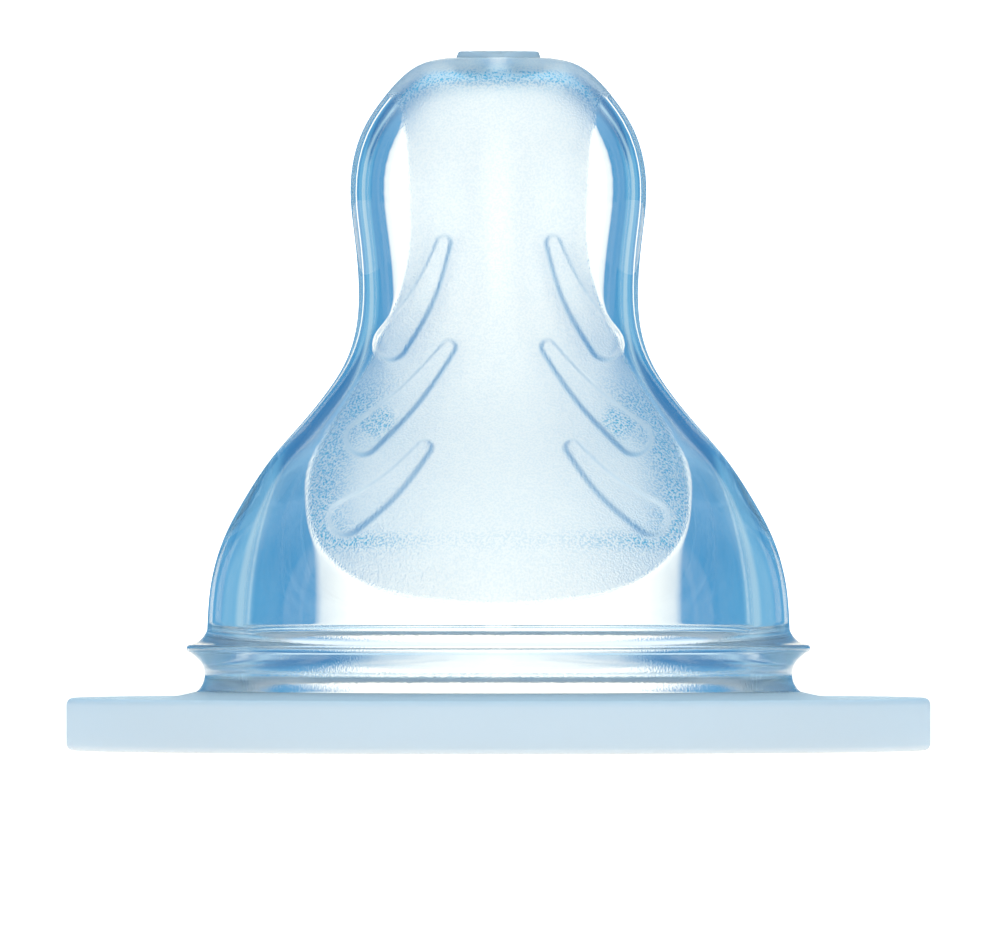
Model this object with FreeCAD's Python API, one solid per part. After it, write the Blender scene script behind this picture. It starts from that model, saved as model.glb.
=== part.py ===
"""Silicone feeding teat: a flat sealing flange, a grooved neck, and a bell that narrows to a flattened nipple.

Millimetres. The origin is the centre of the flange's underside, +Z points up to the tip,
X is the nipple's wide direction and Y its thin direction, with the front at -Y.
"""
import FreeCAD, Part
import math
import os

V = FreeCAD.Vector

# ---- flange and neck (all round) ----
FLANGE_R = 25.0          # outer radius
FLANGE_T = 3.05          # thickness at the edge
EDGE_R = 0.4             # rounding of the outer edge
DISH = 0.1               # the flat of the flange's top lies this much below its edge
FLAT_R = 23.8            # outer radius of that flat
RAMP_R = 19.5            # its inner radius, where the top starts to rise to the neck
MOUTH_R = 14.85          # open mouth underneath
NECK_FOOT_R = 17.5       # neck radius where the flange ends
NECK_FOOT_Z = 3.4
GROOVE_R = 17.0          # smallest radius of the groove that the screw ring holds
GROOVE_Z = 4.4
GROOVE_TOP_Z = 5.4
BEAD_R = 18.06           # largest radius of the retaining bead
BEAD_Z = 5.91
BEAD_NOSE = 0.24         # half-height of the bead's rounded nose
FILLET = (17.2, 6.47)    # radius and height of a point on the hollow fillet from the bead to the bell
BELL_Z = 7.0             # foot of the bell
TOP_Z = 40.07            # flat top of the nipple

# ---- bell and nipple: height, half-width in X, half-depth in Y ----
OUTER = [
    (BELL_Z, 16.87, 16.87),   # bell foot, round
    (9.3, 16.70, 16.62),
    (11.9, 16.05, 15.75),
    (14.5, 14.75, 14.05),     # bell shoulder
    (17.1, 13.00, 11.70),
    (19.0, 11.35, 9.75),
    (20.8, 9.90, 8.15),       # flare into the nipple
    (22.5, 8.85, 7.05),
    (24.5, 8.23, 6.25),
    (27.0, 8.10, 5.80),       # waist
    (29.7, 8.33, 5.70),
    (32.3, 8.57, 5.70),       # bulb
    (34.5, 8.33, 5.50),
    (36.2, 7.70, 5.10),
    (37.8, 6.63, 4.50),
    (39.0, 5.55, 3.85),       # crown
    (39.8, 4.30, 3.20),
    (TOP_Z, 3.05, 2.75),      # flat top
]
BELL_WALL = 2.0          # wall of the bell, up to THIN_Z[0]
SIDE_WALL = 1.1          # wall at the sides of the nipple, from THIN_Z[1] up
FRONT_WALL = 1.4         # and at its front and back, under the panels
THIN_Z = (11.0, 17.0)    # the wall gets thinner between these heights
CAVITY_TOP_Z = 38.97
CAVITY_TURN = (0.3, 1.2)  # height and width of the turn from the cavity's side to its flat top

# ---- zones of the bell and nipple ----
FLEX_Z = (17.6, 23.0)    # the part of the wall that bends
CROWN_Z = 37.8           # the crown, frosted all round, starts here

# ---- tip ----
PAD_R = 2.45             # raised pad round the feed hole
PAD_TOP_R = 2.3
TIP_Z = 40.45
HOLE_R = 0.2             # feed hole
RECESS_R = 1.1           # recess under the feed hole
RECESS_TOP_Z = 39.85
DRILL_SPARE = 1.0        # cutting tools reach this much past the wall that they cut

# ---- frosted panels and ribs ----
PANEL_H = 0.15           # the panels and the crown stand this much proud of the wall
RIB_H = 0.3              # a rib stands this much proud of the panel
PANEL_SIDE = [           # right-hand edge of the panel, seen from the front: x, z
    (3.96, 8.80),
    (8.88, 10.40),
    (10.73, 12.80),
    (11.00, 14.50),
    (10.45, 17.40),
    (9.17, 19.70),
    (7.15, 23.20),
    (5.70, 26.65),
    (5.18, 29.50),
    (5.24, 33.00),
    (5.45, 35.60),
    (6.05, CROWN_Z),
]
PANEL_BOTTOM_Z = 8.48
RIB_TIP_R = 0.42         # rounded inner end of a rib
RIB_END_R = 0.98         # rounded outer end
RIBS = {                 # inner end, middle and outer end of the right-hand ribs' centre lines: x, z
    "upper": ((3.15, 29.35), (4.40, 26.20), (6.20, 23.55)),
    "middle": ((2.86, 23.30), (5.10, 20.50), (7.80, 18.05)),
    "lower": ((4.25, 17.50), (6.35, 15.20), (8.75, 13.45)),
}
BLOCK = 40.0             # half-size of the blocks that divide the walls, larger than the part


def solid_of(shape):
    """The single closed solid in a boolean's result."""
    solids = shape.Solids
    if len(solids) != 1 or not solids[0].isValid():
        raise ValueError(f"expected one valid solid, found {len(solids)}")
    return solids[0]


def revolved(edges):
    """A solid of revolution about Z from a closed profile in the XZ plane."""
    return solid_of(Part.Face(Part.Wire(edges)).revolve(V(0, 0, 0), V(0, 0, 1), 360))


def line(a, b):
    return Part.LineSegment(V(a[0], 0, a[1]), V(b[0], 0, b[1])).toShape()


def arc(a, b, c):
    return Part.Arc(V(a[0], 0, a[1]), V(b[0], 0, b[1]), V(c[0], 0, c[1])).toShape()


def sealing_flange():
    """Flat ring with a rounded edge, whose top has a sunk flat and then rises to the neck."""
    r, t, e = FLANGE_R, FLANGE_T, EDGE_R
    in_corner = e * (1 - math.sqrt(0.5))
    foot, ramp, flat = (NECK_FOOT_R, NECK_FOOT_Z), (RAMP_R, t - DISH), (FLAT_R, t - DISH)
    return revolved([
        line((MOUTH_R, 0), (r - e, 0)),
        arc((r - e, 0), (r - in_corner, in_corner), (r, e)),
        line((r, e), (r, t - e)),
        arc((r, t - e), (r - in_corner, t - in_corner), (r - e, t)),
        line((r - e, t), flat),
        line(flat, ramp),
        line(ramp, foot),
        line(foot, (MOUTH_R, NECK_FOOT_Z)),
        line((MOUTH_R, NECK_FOOT_Z), (MOUTH_R, 0)),
    ])


def collar_groove():
    """Neck wall with the hollow that the screw ring's inner edge sits in."""
    low, high = (NECK_FOOT_R, NECK_FOOT_Z), (NECK_FOOT_R, GROOVE_TOP_Z)
    return revolved([
        line((MOUTH_R, NECK_FOOT_Z), low),
        arc(low, (GROOVE_R, GROOVE_Z), high),
        line(high, (MOUTH_R, GROOVE_TOP_Z)),
        line((MOUTH_R, GROOVE_TOP_Z), (MOUTH_R, NECK_FOOT_Z)),
    ])


def retaining_bead():
    """Bead with a rounded nose and a hollow fillet up to the bell."""
    low = (NECK_FOOT_R, GROOVE_TOP_Z)
    under, over = (BEAD_R - BEAD_NOSE, BEAD_Z - BEAD_NOSE), (BEAD_R - BEAD_NOSE, BEAD_Z + BEAD_NOSE)
    bell_foot = (OUTER[0][1], BELL_Z)
    return revolved([
        line((MOUTH_R, GROOVE_TOP_Z), low),
        line(low, under),
        arc(under, (BEAD_R, BEAD_Z), over),
        arc(over, FILLET, bell_foot),
        line(bell_foot, (MOUTH_R, BELL_Z)),
        line((MOUTH_R, BELL_Z), (MOUTH_R, GROOVE_TOP_Z)),
    ])


def oval(z, a, b):
    """Horizontal oval with half-width a and half-depth b."""
    centre = V(0, 0, z)
    curve = Part.Ellipse(centre, a, b) if a > b else Part.Circle(centre, V(0, 0, 1), a)
    return Part.Wire(curve.toShape())


def loft(stations):
    return solid_of(Part.makeLoft([oval(*s) for s in stations], True))


def grown(height):
    """The bell and nipple with every station widened by height."""
    return loft([(z, a + height, b + height) for z, a, b in OUTER])


def wall_at(z, upper_wall):
    """Wall thickness at a height, where upper_wall is the nipple's."""
    share = min(max((z - THIN_Z[0]) / (THIN_Z[1] - THIN_Z[0]), 0), 1)
    return BELL_WALL + (upper_wall - BELL_WALL) * share


def cavity():
    """Hollow of the bell and nipple: the outer stations moved in by the wall, square to the silhouette."""
    turn_height, turn_width = CAVITY_TURN
    inner = [(BELL_Z, MOUTH_R, MOUTH_R)]
    for (z0, a0, _), (z, a, b), (z1, a1, _) in zip(OUTER, OUTER[1:], OUTER[2:]):
        run = math.hypot(a1 - a0, z1 - z0)
        side, front = wall_at(z, SIDE_WALL), wall_at(z, FRONT_WALL)
        across, down = (z1 - z0) / run, side * (a0 - a1) / run
        if z - down > CAVITY_TOP_Z - turn_height:
            break
        inner.append((z - down, a - side * across, b - front * across))
    a, b = inner[-1][1:]
    inner.append((CAVITY_TOP_Z, a - turn_width, b - turn_width))
    return loft(inner)


def slab(low, high):
    """Everything between two heights."""
    return Part.makeBox(2 * BLOCK, 2 * BLOCK, high - low, V(-BLOCK, -BLOCK, low))


def side_box(side):
    """Everything in front of (side -1) or behind (side 1) the middle plane."""
    return Part.makeBox(2 * BLOCK, BLOCK, 2 * BLOCK, V(-BLOCK, -BLOCK if side < 0 else 0, 0))


def feed_hole():
    """The drill for the feed hole, from the cavity up through the tip."""
    foot = CAVITY_TOP_Z - DRILL_SPARE
    return Part.makeCylinder(HOLE_R, TIP_Z + DRILL_SPARE - foot, V(0, 0, foot))


def shell_zones():
    """The walls of the bell and nipple, from the bell foot to the flat top."""
    hollow = cavity()
    shell = grown(0).cut(hollow)
    foot = CAVITY_TOP_Z - DRILL_SPARE
    recess = Part.makeCylinder(RECESS_R, RECESS_TOP_Z - foot, V(0, 0, foot))
    crown = grown(PANEL_H).cut(hollow).cut(recess).cut(feed_hole())
    return {
        "bell_wall": shell.common(slab(BELL_Z, FLEX_Z[0])),
        "flex_wall": shell.common(slab(*FLEX_Z)),
        "nipple_wall": shell.common(slab(FLEX_Z[1], CROWN_Z)),
        "nipple_crown": crown.common(slab(CROWN_Z, TIP_Z)),
    }


def tip_pad():
    """Low tapered disc round the feed hole."""
    return Part.makeCone(PAD_R, PAD_TOP_R, TIP_Z - TOP_Z, V(0, 0, TOP_Z)).cut(feed_hole())


def panel_prism(side):
    """Front or back block with the panel's outline: a wide round foot that narrows to the nipple."""
    right = [V(x, 0, z) for x, z in PANEL_SIDE]
    left = [V(-p.x, 0, p.z) for p in reversed(right)]
    outline = Part.BSplineCurve()
    outline.interpolate(left + [V(0, 0, PANEL_BOTTOM_Z)] + right)
    top_edge = Part.LineSegment(right[-1], left[0])
    face = Part.Face(Part.Wire([outline.toShape(), top_edge.toShape()]))
    return face.extrude(V(0, BLOCK * side, 0))


def rib_prism(side, mirror, centre_line):
    """Front or back block with a drop's outline: two round ends joined by bowed sides."""
    inner, middle, outer = (V(mirror * x, 0, z) for x, z in centre_line)
    along_inner, along_outer = (middle - inner).normalize(), (outer - middle).normalize()
    along_middle = (outer - inner).normalize()

    def beside(point, along, radius):
        """The two points at a radius to the left and right of the centre line."""
        across = V(-along.z, 0, along.x) * radius
        return point + across, point - across

    inner_left, inner_right = beside(inner, along_inner, RIB_TIP_R)
    middle_left, middle_right = beside(middle, along_middle, (RIB_TIP_R + RIB_END_R) / 2)
    outer_left, outer_right = beside(outer, along_outer, RIB_END_R)
    edges = [
        Part.Arc(inner_left, middle_left, outer_left).toShape(),
        Part.Arc(outer_left, outer + along_outer * RIB_END_R, outer_right).toShape(),
        Part.Arc(outer_right, middle_right, inner_right).toShape(),
        Part.Arc(inner_right, inner - along_inner * RIB_TIP_R, inner_left).toShape(),
    ]
    return Part.Face(Part.Wire(edges)).extrude(V(0, BLOCK * side, 0))


def panels_and_ribs():
    """Frosted panels and the ribs that stand on them, on the front and the back."""
    wall, panel_top, rib_top = grown(0), grown(PANEL_H), grown(PANEL_H + RIB_H)
    panel_skin, rib_skin = panel_top.cut(wall), rib_top.cut(panel_top)
    parts = {}
    for name, side in (("front", -1), ("back", 1)):
        panel = panel_skin.common(side_box(side)).common(panel_prism(side))
        parts[f"panel_{name}_bell"] = panel.common(slab(0, FLEX_Z[0]))
        parts[f"panel_{name}_flex"] = panel.common(slab(*FLEX_Z))
        parts[f"panel_{name}_nipple"] = panel.common(slab(FLEX_Z[1], CROWN_Z))
        for row, centre_line in RIBS.items():
            for hand, mirror in (("left", -1), ("right", 1)):
                prism = rib_prism(side, mirror, centre_line)
                parts[f"rib_{name}_{row}_{hand}"] = rib_skin.common(side_box(side)).common(prism)
    return parts


def main():
    os.makedirs("parts", exist_ok=True)
    parts = {
        "sealing_flange": sealing_flange(),
        "collar_groove": collar_groove(),
        "retaining_bead": retaining_bead(),
        "tip_pad": tip_pad(),
    }
    parts.update(shell_zones())
    parts.update(panels_and_ribs())
    for name, shape in parts.items():
        solid = solid_of(shape)
        solid.exportStep(f"parts/{name}.step")
        box = solid.optimalBoundingBox()
        print(f"{name:26} {solid.Volume:9.2f} mm3   z {box.ZMin:6.2f} to {box.ZMax:6.2f}")


main()
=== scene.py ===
"""Looks of the silicone feeding teat: one clear moulding with frosted, ribbed panels, on a milky flange.

Millimetre sizes are turned into metres where vertices are made. The front of the teat faces -Y.
"""
import math

import bpy
import numpy as np
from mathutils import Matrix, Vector


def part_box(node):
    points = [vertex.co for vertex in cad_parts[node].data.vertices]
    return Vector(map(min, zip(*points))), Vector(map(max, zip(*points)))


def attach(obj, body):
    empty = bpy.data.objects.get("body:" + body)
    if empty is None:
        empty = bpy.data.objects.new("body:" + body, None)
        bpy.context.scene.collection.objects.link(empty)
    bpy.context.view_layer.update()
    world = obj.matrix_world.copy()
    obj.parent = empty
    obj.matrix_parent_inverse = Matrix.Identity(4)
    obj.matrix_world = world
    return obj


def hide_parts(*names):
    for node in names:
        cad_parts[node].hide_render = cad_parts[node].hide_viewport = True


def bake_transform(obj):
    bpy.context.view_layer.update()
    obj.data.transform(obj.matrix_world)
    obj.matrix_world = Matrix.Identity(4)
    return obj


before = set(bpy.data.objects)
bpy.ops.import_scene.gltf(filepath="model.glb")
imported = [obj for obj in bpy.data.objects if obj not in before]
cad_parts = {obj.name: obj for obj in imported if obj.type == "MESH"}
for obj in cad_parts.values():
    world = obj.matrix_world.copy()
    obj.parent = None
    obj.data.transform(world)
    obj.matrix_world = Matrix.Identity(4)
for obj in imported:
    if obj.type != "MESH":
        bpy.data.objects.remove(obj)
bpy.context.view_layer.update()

MM = 0.001

# ---- levels and radii that the CAD gives, in mm ----
FLANGE_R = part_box("sealing_flange")[1].x / MM
FLANGE_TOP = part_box("sealing_flange")[1].z / MM
GROOVE_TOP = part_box("collar_groove")[1].z / MM
NECK_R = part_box("collar_groove")[1].x / MM
BEAD_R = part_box("retaining_bead")[1].x / MM
BELL_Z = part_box("bell_wall")[0].z / MM
CROWN_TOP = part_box("nipple_crown")[1].z / MM
PAD_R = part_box("tip_pad")[1].x / MM
TIP_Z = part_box("tip_pad")[1].z / MM

# ---- sizes repeated from the design, in mm ----
FLANGE_T = 3.05           # thickness at the edge
EDGE_R = 0.4              # rounding of the outer edge
DISH = 0.1                # the flat of the flange's top lies this much below its edge
FLAT_R = 23.8             # outer radius of that flat
RAMP_R = 19.5             # its inner radius, where the top starts to rise to the neck
MOUTH_R = 14.85           # open mouth underneath
GROOVE_R = 17.0           # neck radius where the groove is deepest
BEAD_Z = 5.91             # height of the bead's nose
BEAD_NOSE = 0.24          # half-height of that nose
FILLET = (17.2, 6.47)     # a point on the fillet from the bead to the bell: radius, height
OUTER = [                 # height, half-width, half-depth of the bell and nipple
    (BELL_Z, 16.87, 16.87),
    (9.3, 16.70, 16.62),
    (11.9, 16.05, 15.75),
    (14.5, 14.75, 14.05),
    (17.1, 13.00, 11.70),
    (19.0, 11.35, 9.75),
    (20.8, 9.90, 8.15),
    (22.5, 8.85, 7.05),
    (24.5, 8.23, 6.25),
    (27.0, 8.10, 5.80),
    (29.7, 8.33, 5.70),
    (32.3, 8.57, 5.70),
    (34.5, 8.33, 5.50),
    (36.2, 7.70, 5.10),
    (37.8, 6.63, 4.50),
    (39.0, 5.55, 3.85),
    (39.8, 4.30, 3.20),
    (CROWN_TOP, 3.05, 2.75),
]
BELL_WALL = 2.0
SIDE_WALL = 1.1           # the nipple's wall at its sides
FRONT_WALL = 1.4          # and at its front and back
THIN_Z = (11.0, 17.0)     # the wall gets thinner between these heights
CAVITY_TOP = 38.97
CAVITY_TURN = (0.3, 1.2)  # height and width of the turn from the cavity's wall to its flat top
HOLE_R = 0.2
RECESS_R = 1.1
RECESS_TOP = 39.85
PANEL_SIDE = [            # right-hand edge of the frosted panel: x, z
    (0.0, 8.48),
    (3.96, 8.80),
    (8.88, 10.40),
    (10.73, 12.80),
    (11.00, 14.50),
    (10.45, 17.40),
    (9.17, 19.70),
    (7.15, 23.20),
    (5.70, 26.65),
    (5.18, 29.50),
    (5.24, 33.00),
    (5.45, 35.60),
    (6.05, 37.80),
]
RIBS = [                  # a rib's centre line from its narrow to its wide end: x, z
    ((3.15, 29.35), (4.40, 26.20), (6.20, 23.55)),
    ((2.86, 23.30), (5.10, 20.50), (7.80, 18.05)),
    ((4.25, 17.50), (6.35, 15.20), (8.75, 13.45)),
]
RIB_TIP_R = 0.42
RIB_END_R = 0.98

# ---- sizes that only the looks need, in mm ----
PANEL_H = 0.01            # the panels and ribs are lower and softer than the design's
RIB_H = 0.08
FOOT_Z = 0.02             # the clear neck reaches down inside the milky ring to here
FOOT_INSET = 0.1          # and is this much narrower there
RING_R = 17.3             # inside of the milky ring
PAD_GAP = 0.01            # the pad starts this much above the crown
UNDER_PAD_R = 1.2         # a ring of the crown's flat top, under the pad
HOLE_RIM = 0.08           # width of the ring round the feed hole
SMALL_EDGE = 0.05         # ease of the edges of the feed hole and the recess
FROST_TOP_Z = 37.8        # above this the whole crown is frosted
CROWN_LINE = [            # where the crown turns over, seen from the front: x, z
    (7.9, 34.0),
    (6.9, 36.2),
    (5.6, 37.9),
    (4.2, 38.8),
    (2.5, 39.1),
    (0.0, 39.1),
]
CROSS_LINE_Z = 12.2           # the faint line across the panel

# ---- soft edges, in mm: where something is full, and where it has faded away ----
PANEL_EDGE = (0.12, -0.12)        # the first three go by how far inside its outline a place lies
FROST_EDGE = (0.168, -0.072)
RIB_EDGE = (0.16, -0.1)
RIM = (0.6, 3)                    # blue grain inside the panel's rim
RIM_LOW = (13.5, 10.5)            # and the heights where it ends
RIM_HIGH = (19.5, 22.5)
RIB_END = (0.3, 1.3)              # blue grain round the wide end of the middle rib
CROSS_LINE_REACH = (0, 0.9)                 # above and below that line
CROSS_LINE_SIDE = (7, 3)              # it's weaker towards the middle of the panel
RIB_BARE = (0, 0.35)              # there's little grain along a rib's outline
RIB_SHADE_WIDTH = (0, 0.24)              # but even blue, which is painted shade
# the painted shade along a rib's outline is deeper on its lower side
RIB_SHADED_SIDE = (0.14, -0.14)
CROWN_LOW = (36.5, 34.5)          # the heights where the crown's blue grain and painted shade end
CROWN_GRAIN = (0.9, 0.35)         # its reach below and above the line where the crown turns over, where the crowded blue grain is painted shade
CROWN_SHADE_REACH = (0.5, 0.3)           # and that of its even blue, which is painted shade

# ---- shares, from 0 to 1 ----
NECK_HAZE = 0.35          # of frost on the groove and bead
FAINT_GRAIN = 0.16        # of blue grain all over the frost
CROSS_LINE_GRAIN = 0.7
CROWN_PAINTED_SHADE = 0.4          # of even blue, without grain, where the crown turns over: painted shade
RIB_PAINTED_SHADE = (0.25, 0.4)    # of painted shade along a rib's outline, and how much more on its lower side

# ---- how finely the moulding is divided ----
COLUMNS = 312             # round the outside; the cavity has half as many
BELL_ROWS = 243
CAVITY_ROWS = 50
PAD_COLUMNS = 96
FLANGE_COLUMNS = 256


# ---- curves ----
def spline(points, samples):
    """Points on the natural cubic through the given points, at shares 0 to 1 of its length."""
    p = np.array(points, float)
    t = np.concatenate([[0], np.cumsum(np.linalg.norm(np.diff(p, axis=0), axis=1))])
    h = np.diff(t)
    n = len(p)
    bend = np.eye(n)
    right = np.zeros_like(p)
    for i in range(1, n - 1):
        bend[i, i - 1:i + 2] = h[i - 1], 2 * (h[i - 1] + h[i]), h[i]
        right[i] = 6 * ((p[i + 1] - p[i]) / h[i] - (p[i] - p[i - 1]) / h[i - 1])
    m = np.linalg.solve(bend, right)
    s = np.clip(np.asarray(samples) * t[-1], 0, t[-1])
    i = np.clip(np.searchsorted(t, s, side="right") - 1, 0, n - 2)
    a, b, step = (t[i + 1] - s)[:, None], (s - t[i])[:, None], h[i][:, None]
    bulge = (m[i] * a ** 3 + m[i + 1] * b ** 3) / (6 * step)
    return bulge + (p[i] / step - m[i] * step / 6) * a + (p[i + 1] / step - m[i + 1] * step / 6) * b


def arc_through(a, b, c, count):
    """Points on the circle through three points, from a to c."""
    a, b, c = (np.array(q, float) for q in (a, b, c))
    m = np.array([b - a, c - b])
    centre = np.linalg.solve(m, [m[0] @ (a + b) / 2, m[1] @ (b + c) / 2])
    start, middle, end = (math.atan2(*(q - centre)[::-1]) for q in (a, b, c))
    turn = (end - start) % math.tau
    if (middle - start) % math.tau > turn:
        turn -= math.tau
    angles = start + turn * np.linspace(0, 1, count)
    return centre + np.linalg.norm(a - centre) * np.stack([np.cos(angles), np.sin(angles)], 1)


def straight(a, b, count):
    return np.linspace(a, b, count)


def fade(value, full, none):
    """1 where the value is at full or past it, falling smoothly to 0 at none."""
    x = np.clip((none - value) / (none - full), 0, 1)
    return x * x * (3 - 2 * x)


def packed(places, closeness, count, **ends):
    """So many of the places, closer together where closeness is high."""
    reached = np.concatenate([[0], np.cumsum(closeness[1:])])
    return np.interp(np.linspace(0, reached[-1], count, **ends), reached, places)


# ---- the clear moulding's outline: rows of (height, half-width, half-depth) ----
def round_rows(points):
    """Rows of a round stretch from its (radius, height) points."""
    p = np.asarray(points)
    return np.stack([p[:, 1], p[:, 0], p[:, 0]], 1)


def outer_rows():
    """The outside, from inside the flange over the groove, bead, bell and crown to the flat top."""
    foot, groove_top = (NECK_R, FLANGE_TOP), (NECK_R, GROOVE_TOP)
    under, over = (BEAD_R - BEAD_NOSE, BEAD_Z - BEAD_NOSE), (BEAD_R - BEAD_NOSE, BEAD_Z + BEAD_NOSE)
    bell = (OUTER[0][1], BELL_Z)
    groove = (GROOVE_R, (FLANGE_TOP + GROOVE_TOP) / 2)
    neck = [
        arc_through(foot, groove, groove_top, 13)[:-1],
        straight(groove_top, under, 5)[:-1],
        arc_through(under, (BEAD_R, BEAD_Z), over, 9)[:-1],
        arc_through(over, FILLET, bell, 10)[:-1],
    ]
    return np.concatenate([round_rows(np.concatenate(neck)), spline(OUTER, row_shares())])


def row_shares():
    """Shares of the bell and nipple's outline for the rows: closest together where the ribs are."""
    share = np.linspace(0, 1, 2000)
    return packed(share, 1 + 2.2 * fade(share, 0.05, 0) * fade(share, 0.72, 0.76), BELL_ROWS)


def ring_angles():
    """Angles round the moulding: closest together on the ribs, and widest apart at the sides."""
    turn = np.linspace(0, math.tau, 8000)
    from_middle = np.degrees(np.arccos(np.abs(np.sin(turn))))     # of the front or back
    closeness = 0.3 + 0.7 * fade(from_middle, 46, 58) - 0.4 * fade(from_middle, 4, 12)
    return packed(turn, closeness, COLUMNS, endpoint=False)


def wall_at(z, upper_wall):
    return np.interp(z, THIN_Z, (BELL_WALL, upper_wall))


def inner_rows():
    """The cavity, from the top down to the mouth."""
    turn_height, turn_width = CAVITY_TURN
    inner = [(BELL_Z, MOUTH_R, MOUTH_R)]
    for (z0, a0, _), (z, a, b), (z1, a1, _) in zip(OUTER, OUTER[1:], OUTER[2:]):
        run = math.hypot(a1 - a0, z1 - z0)
        side, front = wall_at(z, SIDE_WALL), wall_at(z, FRONT_WALL)
        across, down = (z1 - z0) / run, side * (a0 - a1) / run
        if z - down > CAVITY_TOP - turn_height:
            break
        inner.append((z - down, a - side * across, b - front * across))
    a, b = inner[-1][1:]
    inner.append((CAVITY_TOP, a - turn_width, b - turn_width))
    return spline(inner, np.linspace(0, 1, CAVITY_ROWS))[::-1]


# ---- places on the panels and ribs, seen from the front: points are (|x|, z) ----
def distance_inside(points, outline):
    """How far inside a closed outline each point lies, negative outside."""
    best = np.full(len(points), np.inf)
    inside = np.zeros(len(points), bool)
    for p, q in zip(outline, np.roll(outline, -1, 0)):
        edge = q - p
        share = np.clip(((points - p) @ edge) / (edge @ edge), 0, 1)
        best = np.minimum(best, np.linalg.norm(points - (p + share[:, None] * edge), axis=1))
        crosses = (p[1] > points[:, 1]) != (q[1] > points[:, 1])
        with np.errstate(divide="ignore", invalid="ignore"):
            at = p[0] + (points[:, 1] - p[1]) / (q[1] - p[1]) * edge[0]
        inside ^= crosses & (points[:, 0] < at)
    return np.where(inside, best, -best)


def panel_outline():
    """The panel's edge, carried on above the crown, where the frost is all round."""
    right = spline(PANEL_SIDE, np.linspace(0, 1, 140))
    over = [(right[-1][0], TIP_Z + 5), (-right[-1][0], TIP_Z + 5)]
    left = right[::-1][:-1] * [-1, 1]
    return np.concatenate([right, over, left])


def rib_line(rib):
    return spline(rib, np.linspace(0, 1, 40))


def rib_inside(points):
    """How far inside the nearest rib's outline each point lies, negative outside."""
    inside = np.full(len(points), -np.inf)
    for rib in RIBS:
        line = rib_line(rib)
        for centre, radius in zip(line, np.linspace(RIB_TIP_R, RIB_END_R, len(line))):
            inside = np.maximum(inside, radius - np.linalg.norm(points - centre, axis=1))
    return inside


def crown_share(points, below, above):
    """1 where the crown turns over, falling to 0 at about these distances below and above."""
    x, z = points[:, 0], points[:, 1]
    line = spline(CROWN_LINE, np.linspace(0, 1, 60))
    gap = np.min(np.linalg.norm(points[:, None] - line, axis=2), axis=1)
    lower = (z < np.interp(x, line[::-1, 0], line[::-1, 1])) & (x < CROWN_LINE[0][0])
    reach = np.where(lower, below, above)
    return fade(gap, 0.15 * reach, 1.15 * reach) * fade(z, *CROWN_LOW)


# ---- relief, finish and painted shade of the outside ----
def relief(points, panel_inside):
    """How far the panels and ribs stand out."""
    panel = fade(panel_inside, *PANEL_EDGE) * fade(points[:, 1], FROST_TOP_Z - 3, FROST_TOP_Z)
    return PANEL_H * panel + RIB_H * fade(rib_inside(points), *RIB_EDGE)


def grain_share(points, inside):
    """Share of blue grain: faint all over, thick inside the panel's rim, round the middle rib's wide end
    and along the line across the panel, and as painted shade where the crown turns over.
    """
    x, z = points[:, 0], points[:, 1]
    rim = fade(inside, *RIM) * fade(z, *RIM_LOW) * fade(z, *RIM_HIGH)
    middle_rib_end = rib_line(RIBS[1])[-8]
    rib = fade(np.linalg.norm(points - middle_rib_end, axis=1), *RIB_END)
    cross_line = CROSS_LINE_GRAIN * fade(np.abs(z - CROSS_LINE_Z), *CROSS_LINE_REACH) * (0.2 + 0.8 * fade(x, *CROSS_LINE_SIDE))
    crown = crown_share(points, *CROWN_GRAIN)
    bare = 0.85 * fade(np.abs(rib_inside(points)), *RIB_BARE)
    return np.clip(FAINT_GRAIN + rim + rib + cross_line + crown, 0, 1) * (1 - bare)


def painted_shade_share(points):
    """Share of even blue that is painted shade: on the crown's turn and the ribs' outlines, deeper on
    their lower side.
    """
    inside = rib_inside(points)
    # painted shade: blue along a rib's outline, deeper on its lower side
    lower = fade(rib_inside(points + 0.1) - inside, *RIB_SHADED_SIDE)
    everywhere, more = RIB_PAINTED_SHADE
    outline = fade(np.abs(inside), *RIB_SHADE_WIDTH) * (everywhere + more * lower)
    return np.maximum(outline, CROWN_PAINTED_SHADE * crown_share(points, *CROWN_SHADE_REACH))


def finishes_and_painted_shade(points, panel_inside):
    """Shares of frost, blue grain and even blue that is painted shade."""
    z = points[:, 1]
    inside = np.maximum(panel_inside, z - FROST_TOP_Z)
    frost = np.maximum(fade(inside, *FROST_EDGE), NECK_HAZE * fade(z, BELL_Z - 0.3, BELL_Z))
    grain = (inside > -0.2) * grain_share(points, inside)
    # the line share is painted shade
    return {"frost": frost, "grain": frost * grain, "line": frost * painted_shade_share(points)}


# ---- meshes ----
def outward(shape):
    """Unit normals of a grid of points, rows by columns."""
    along = np.gradient(shape, axis=0)
    around = np.roll(shape, -1, 1) - np.roll(shape, 1, 1)
    normal = np.cross(around, along)
    return normal / np.linalg.norm(normal, axis=2, keepdims=True)


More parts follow.
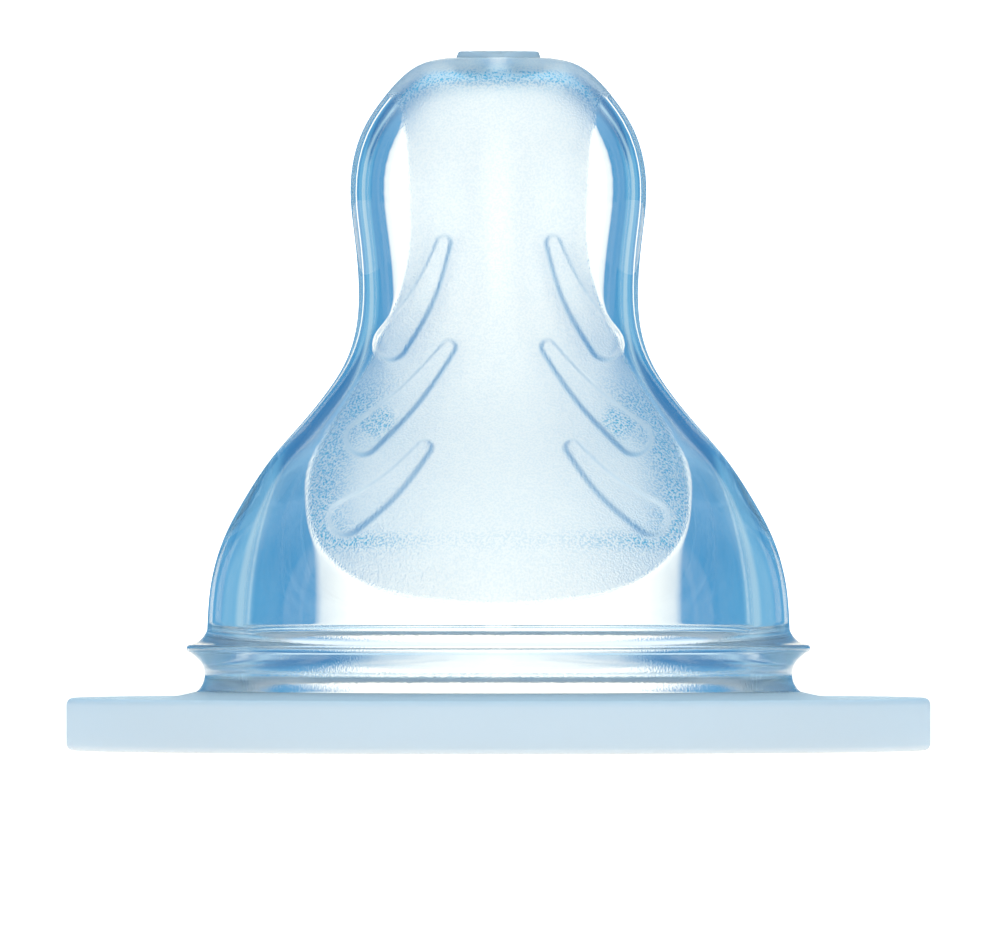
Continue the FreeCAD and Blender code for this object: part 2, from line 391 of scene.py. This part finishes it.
def moulding():
    """Vertices and faces of the clear moulding, with the shares of its finishes and painted shade on each
    vertex.
    """
    angles = ring_angles()
    cos, sin = np.cos(angles), np.sin(angles)

    def ring(z, a, b, step=1):
        return np.stack([a * cos[::step], b * sin[::step], np.full(len(angles[::step]), z)], 1)

    shape = np.array([ring(*row) for row in outer_rows()])
    seen = np.abs(shape[:, :, [0, 2]].reshape(-1, 2))
    panel_inside = distance_inside(seen, panel_outline())
    shape += outward(shape) * relief(seen, panel_inside).reshape(*shape.shape[:2], 1)

    tip = [ring(CROWN_TOP, r, r) for r in (PAD_R, UNDER_PAD_R, HOLE_R + HOLE_RIM, HOLE_R)]
    inner = [ring(z, r, r, 2) for z, r in (
        (RECESS_TOP + SMALL_EDGE, HOLE_R),
        (RECESS_TOP, HOLE_R + SMALL_EDGE),
        (RECESS_TOP, RECESS_R - 2 * SMALL_EDGE),
        (RECESS_TOP - 2 * SMALL_EDGE, RECESS_R),
        (CAVITY_TOP + SMALL_EDGE, RECESS_R),
        (CAVITY_TOP, RECESS_R + SMALL_EDGE),
    )]
    inner += [ring(*row, 2) for row in inner_rows()]
    inner += [ring(z, MOUTH_R, MOUTH_R, 2) for z in (FLANGE_TOP, FOOT_Z)]
    inner += [ring(FOOT_Z, NECK_R - FOOT_INSET, NECK_R - FOOT_INSET)]

    rings = [*shape, *tip, *inner]
    frosted, plain = (sum(len(r) for r in stretch) for stretch in (tip, inner))
    finish_and_painted_shade = {
        name: np.concatenate([values, np.full(frosted, name == "frost"), np.zeros(plain)])
        for name, values in finishes_and_painted_shade(seen, panel_inside).items()}
    return np.concatenate(rings), joined([len(r) for r in rings]), finish_and_painted_shade


def joined(counts):
    """Faces of a closed tube through rings of these sizes; a ring may have half its neighbour's points."""
    starts = np.concatenate([[0], np.cumsum(counts)[:-1]])
    faces = []
    for k, (count, start) in enumerate(zip(counts, starts)):
        onward = (k + 1) % len(counts)
        low, high = start + np.arange(count), starts[onward] + np.arange(counts[onward])
        if len(low) == len(high):
            faces += np.stack([low, np.roll(low, -1), np.roll(high, -1), high], 1).tolist()
        elif len(low) > len(high):
            left, middle, right = low[::2], low[1::2], np.roll(low[::2], -1)
            following = np.roll(high, -1)
            for face in ((left, middle, high), (middle, right, following), (middle, following, high)):
                faces += np.stack(face, 1).tolist()
        else:
            left, middle, right = high[::2], high[1::2], np.roll(high[::2], -1)
            following = np.roll(low, -1)
            for face in ((low, middle, left), (low, following, middle), (following, right, middle)):
                faces += np.stack(face, 1).tolist()
    return faces


def flange_rows():
    """Closed outline of the flange: (radius, height)."""
    r, t, e = FLANGE_R, FLANGE_T, EDGE_R
    corner = e * (1 - math.sqrt(0.5))
    return np.concatenate([
        straight((RING_R, 0), (r - e, 0), 10)[:-1],
        arc_through((r - e, 0), (r - corner, corner), (r, e), 6)[:-1],
        straight((r, e), (r, t - e), 5)[:-1],
        arc_through((r, t - e), (r - corner, t - corner), (r - e, t), 6)[:-1],
        straight((r - e, t), (FLAT_R, t - DISH), 4)[:-1],
        straight((FLAT_R, t - DISH), (RAMP_R, t - DISH), 6)[:-1],
        straight((RAMP_R, t - DISH), (NECK_R, FLANGE_TOP), 4)[:-1],
        straight((NECK_R, FLANGE_TOP), (RING_R, FLANGE_TOP), 3)[:-1],
        straight((RING_R, FLANGE_TOP), (RING_R, 0), 4)[:-1],
    ])


def pad_rows():
    """Closed outline of the tip's pad, a hair above the crown: (radius, height)."""
    foot = CROWN_TOP + PAD_GAP
    return np.array([
        (HOLE_R, foot),
        (PAD_R - 0.2, foot),
        (PAD_R, foot),
        (PAD_R - 0.02, foot + 0.05),
        (PAD_R - 0.11, TIP_Z - 0.08),
        (PAD_R - 0.15, TIP_Z - 0.02),
        (PAD_R - 0.22, TIP_Z),
        (PAD_R - 0.4, TIP_Z),
        (HOLE_R + 0.1, TIP_Z),
        (HOLE_R, TIP_Z - 0.06),
    ])


def mesh_object(name, vertices, faces, material):
    mesh = bpy.data.meshes.new(name)
    mesh.from_pydata((np.asarray(vertices) * MM).tolist(), [], [tuple(f) for f in faces])
    mesh.validate()
    mesh.polygons.foreach_set("use_smooth", [True] * len(mesh.polygons))
    mesh.materials.append(material)
    made = bpy.data.objects.new(name, mesh)
    bpy.context.scene.collection.objects.link(made)
    return made


def revolve(name, outline, segments, material):
    """A piece from its closed outline of (radius, height) points."""
    angles = np.linspace(0, math.tau, segments, endpoint=False)
    grid = np.stack([
        outline[:, :1] * np.cos(angles),
        outline[:, :1] * np.sin(angles),
        np.repeat(outline[:, 1:], segments, 1),
    ], 2)
    index = np.arange(len(outline) * segments).reshape(len(outline), segments)
    following = np.roll(index, -1, 1)
    quads = np.stack([index, following, np.roll(following, -1, 0), np.roll(index, -1, 0)], 2)
    return mesh_object(name, grid.reshape(-1, 3), quads.reshape(-1, 4), material)


# ---- nodes that the materials and the studio share ----
def set_or_link(tree, socket, value):
    """Give a socket a number or an RGB colour, or link it to another node's output."""
    if isinstance(value, tuple):
        socket.default_value = (*value, 1)
    elif isinstance(value, (int, float)):
        socket.default_value = value
    else:
        tree.links.new(value, socket)


def math_node(tree, operation, *values):
    node = tree.nodes.new("ShaderNodeMath")
    node.operation = operation
    for socket, value in zip(node.inputs, values):
        set_or_link(tree, socket, value)
    return node.outputs[0]


def ranged(tree, value, **ends):
    """A value moved from one range to another."""
    node = tree.nodes.new("ShaderNodeMapRange")
    for name, end in ends.items():
        node.inputs[name.replace("_", " ").title()].default_value = end
    tree.links.new(value, node.inputs["Value"])
    return node.outputs[0]


def mixed(tree, share, first, second):
    """A colour between two others."""
    node = tree.nodes.new("ShaderNodeMix")
    node.data_type = "RGBA"
    tree.links.new(share, node.inputs[0])
    for socket, value in zip([i for i in node.inputs if i.type == "RGBA"], (first, second)):
        set_or_link(tree, socket, value)
    return [o for o in node.outputs if o.type == "RGBA"][0]


def colours_along(tree, value, stops):
    """A colour that changes along a value between the given (value, colour) stops."""
    low, high = stops[0][0], stops[-1][0]
    ramp = tree.nodes.new("ShaderNodeValToRGB")
    elements = ramp.color_ramp.elements
    while len(elements) < len(stops):
        elements.new(0.5)
    for element, (at, colour) in zip(elements, stops):
        element.position = (at - low) / (high - low)
        element.color = (*colour, 1)
    tree.links.new(ranged(tree, value, from_min=low, from_max=high), ramp.inputs["Fac"])
    return ramp.outputs["Color"]


# ---- materials ----
SILICONE_IOR = 1.41
SMOOTH = 0.02             # roughness of the clear silicone
FROSTED = 0.28            # and of the frosted
GRAIN_SCALE = 8000        # of the frost's grain, per metre
GRAIN_DEPTH = 0.00003     # of its bumps, in metres
SPECKLE = (0.42, 0.6)     # the grain's noise turns blue between these values
FROST_TINT = (0.955, 0.972, 0.978)
# blue of the frost's grain and of the painted shade on the ribs' outlines and the crown's turn
GRAIN_AND_SHADE_BLUE = (0.02, 0.34, 0.62)


def new_material(name):
    material = bpy.data.materials.new(name)
    material.use_nodes = True
    return material, material.node_tree, material.node_tree.nodes["Principled BSDF"]


def attribute(tree, name):
    """The share that the mesh's vertices hold under this name."""
    node = tree.nodes.new("ShaderNodeAttribute")
    node.attribute_name = name
    return node.outputs["Fac"]


def absorb(tree, colour, density):
    """Tint light by how far it goes through the material."""
    node = tree.nodes.new("ShaderNodeVolumeAbsorption")
    node.inputs["Color"].default_value = (*colour, 1)
    node.inputs["Density"].default_value = density
    tree.links.new(node.outputs["Volume"], tree.nodes["Material Output"].inputs["Volume"])


def clear_silicone():
    material, tree, shader = new_material("clear_silicone")
    shader.inputs["Transmission Weight"].default_value = 1
    shader.inputs["IOR"].default_value = SILICONE_IOR
    frost = attribute(tree, "frost")
    tree.links.new(ranged(tree, frost, to_min=SMOOTH, to_max=FROSTED), shader.inputs["Roughness"])

    grain = tree.nodes.new("ShaderNodeTexNoise")
    grain.inputs["Scale"].default_value = GRAIN_SCALE
    grain.inputs["Detail"].default_value = 2
    place = tree.nodes.new("ShaderNodeTexCoord")
    tree.links.new(place.outputs["Object"], grain.inputs["Vector"])
    bump = tree.nodes.new("ShaderNodeBump")
    bump.inputs["Distance"].default_value = GRAIN_DEPTH
    tree.links.new(frost, bump.inputs["Strength"])
    tree.links.new(grain.outputs["Fac"], bump.inputs["Height"])
    tree.links.new(bump.outputs["Normal"], shader.inputs["Normal"])

    low, high = SPECKLE
    speckle = ranged(tree, grain.outputs["Fac"], from_min=low, from_max=high)
    grainy = math_node(tree, "MULTIPLY", speckle, attribute(tree, "grain"))
    # the line attribute is painted shade along the ribs' outlines and the crown's turn; it and the grain
    # turn the colour blue
    share = math_node(tree, "MAXIMUM", grainy, attribute(tree, "line"))
    tree.links.new(mixed(tree, share, FROST_TINT, GRAIN_AND_SHADE_BLUE), shader.inputs["Base Color"])
    absorb(tree, (0.2, 0.63, 0.83), 12)
    return material


def milky(name, clearness):
    """Silicone that scatters light; clearness is the share that goes straight through."""
    material, tree, shader = new_material(name)
    shader.inputs["Base Color"].default_value = (0.9, 0.96, 1, 1)
    shader.inputs["Transmission Weight"].default_value = clearness
    shader.inputs["Roughness"].default_value = 0.5
    shader.inputs["IOR"].default_value = SILICONE_IOR
    absorb(tree, (0.15, 0.6, 0.82), 24)
    return material


# ---- pieces ----
vertices, faces, finish_and_painted_shade = moulding()
teat = mesh_object("teat_moulding", vertices, faces, clear_silicone())
for name, values in finish_and_painted_shade.items():
    teat.data.attributes.new(name, "FLOAT", "POINT").data.foreach_set("value", values.astype(np.float32))
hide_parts(*[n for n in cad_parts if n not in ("sealing_flange", "tip_pad")])
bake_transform(teat)

pad = revolve("tip_disc", pad_rows(), PAD_COLUMNS, milky("frosted_silicone", 0.88))
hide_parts("tip_pad")
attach(pad, "nipple")

flange = revolve("flange_ring", flange_rows(), FLANGE_COLUMNS, milky("milky_silicone", 0.3))
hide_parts("sealing_flange")
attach(flange, "base")

# ---- studio, in metres and degrees ----
CAMERA_DISTANCE = 1.8
VIEW_WIDTH = 0.05787        # across the frame, at the teat
VIEW_X = 0.00009
VIEW_Z = 0.0164             # the camera is level
SENSOR = 36                 # millimetres
FLOOR_R = 1.0
FLOOR_SIDES = 96
FLOOR_GAP = 0.00005         # keeps the floor clear of the flange's underside
BOUNCES = 160               # light goes round inside the clear wall many times

STRENGTH = 1.7
DARK = (0.047, 0.204, 0.380)
DEEP = (0.030, 0.125, 0.270)
MIDDLE = (0.100, 0.280, 0.435)
PALE = (0.25, 0.39, 0.48)
WHITE = (0.86, 0.83, 0.75)
EDGE = (0.53, 0.57, 0.59)
SKY = (0.48, 0.64, 0.72)
GROUND = (0.62, 0.68, 0.72)
REAR = (0.80, 0.88, 0.91)
LAMP = (1.7, 1.6, 1.5)
NONE = (0, 0, 0)
ALL = (1, 1, 1)
WINDOWS = 4                 # ahead, behind, left and right
REAR_Y = -0.707             # a ray that goes further back than this meets the rear wall


def add_camera(scene):
    camera = bpy.data.objects.new("camera", bpy.data.cameras.new("camera"))
    scene.collection.objects.link(camera)
    scene.camera = camera
    camera.location = (VIEW_X, -CAMERA_DISTANCE, VIEW_Z)
    aim = Vector((VIEW_X, 0, VIEW_Z))
    camera.rotation_euler = (aim - camera.location).to_track_quat("-Z", "Y").to_euler()
    camera.data.sensor_width = SENSOR
    camera.data.lens = SENSOR * CAMERA_DISTANCE / VIEW_WIDTH
    camera.data.clip_start = 0.01
    camera.data.clip_end = 20


def make_floor(scene):
    """A pale, glowing disc that lights the teat from below and isn't seen through it."""
    turns = np.linspace(0, math.tau, FLOOR_SIDES, endpoint=False)
    rim = [(FLOOR_R * math.cos(t), FLOOR_R * math.sin(t), -FLOOR_GAP) for t in turns]
    mesh = bpy.data.meshes.new("floor")
    mesh.from_pydata(rim, [], [tuple(range(len(rim)))])
    floor = bpy.data.objects.new("floor", mesh)
    scene.collection.objects.link(floor)
    material, _, shader = new_material("floor")
    shader.inputs["Base Color"].default_value = (0.4, 0.4, 0.4, 1)
    shader.inputs["Roughness"].default_value = 0.9
    shader.inputs["Emission Color"].default_value = (0.92, 0.86, 0.78, 1)
    shader.inputs["Emission Strength"].default_value = 1.0
    mesh.materials.append(material)
    floor.visible_transmission = False
    return floor


def light_studio(scene):
    """Blue walls with a bright window on each side, a pale ceiling and a pale ground."""
    world = bpy.data.worlds.new("studio")
    scene.world = world
    world.use_nodes = True
    tree = world.node_tree
    place = tree.nodes.new("ShaderNodeTexCoord")
    split = tree.nodes.new("ShaderNodeSeparateXYZ")
    tree.links.new(place.outputs["Generated"], split.inputs[0])
    x, y, z = split.outputs

    # degrees sideways from the middle of the nearest window
    azimuth = math_node(tree, "ARCTAN2", x, y)
    folded = math_node(tree, "COSINE", math_node(tree, "MULTIPLY", azimuth, WINDOWS))
    off = math_node(tree, "MULTIPLY", math_node(tree, "ARCCOSINE", folded), math.degrees(1) / WINDOWS)
    walls = colours_along(tree, off, [
        (0, WHITE), (3, WHITE), (5.2, EDGE), (5.8, DARK), (20, DARK),
        (22, MIDDLE), (36, MIDDLE), (40, PALE), (45, PALE)])
    # the wall behind the camera is paler away from its window, for the thin edges and the flange
    rear = colours_along(tree, off, [
        (0, LAMP), (5, LAMP), (6, DARK), (17, DARK), (19, REAR), (45, REAR)])
    walls = mixed(tree, math_node(tree, "LESS_THAN", y, REAR_Y), walls, rear)

    # higher up the walls are darker, apart from their windows
    height = math_node(tree, "MULTIPLY", math_node(tree, "ARCSINE", z), math.degrees(1))
    upper = colours_along(tree, off, [
        (0, WHITE), (3, WHITE), (5.2, EDGE), (5.8, DARK), (12, DEEP), (36, DEEP), (45, PALE)])
    walls = mixed(tree, colours_along(tree, height, [(8, NONE), (14, ALL)]), walls, upper)
    above = colours_along(tree, height, [(24, NONE), (42, ALL)])
    depth = math_node(tree, "MULTIPLY", height, -1)
    below = colours_along(tree, depth, [(20, NONE), (30, ALL)])
    room = mixed(tree, below, mixed(tree, above, walls, SKY), GROUND)

    # the camera itself sees plain white
    path = tree.nodes.new("ShaderNodeLightPath")
    background = tree.nodes["Background"]
    seen = mixed(tree, path.outputs["Is Camera Ray"], room, ALL)
    tree.links.new(seen, background.inputs["Color"])
    background.inputs["Strength"].default_value = STRENGTH


scene = bpy.context.scene
add_camera(scene)
floor = make_floor(scene)
light_studio(scene)

scene.view_settings.view_transform = "Standard"
scene.cycles.denoising_prefilter = "ACCURATE"
scene.cycles.max_bounces = BOUNCES
scene.cycles.transmission_bounces = BOUNCES
scene.cycles.glossy_bounces = BOUNCES
scene.cycles.transparent_max_bounces = 16
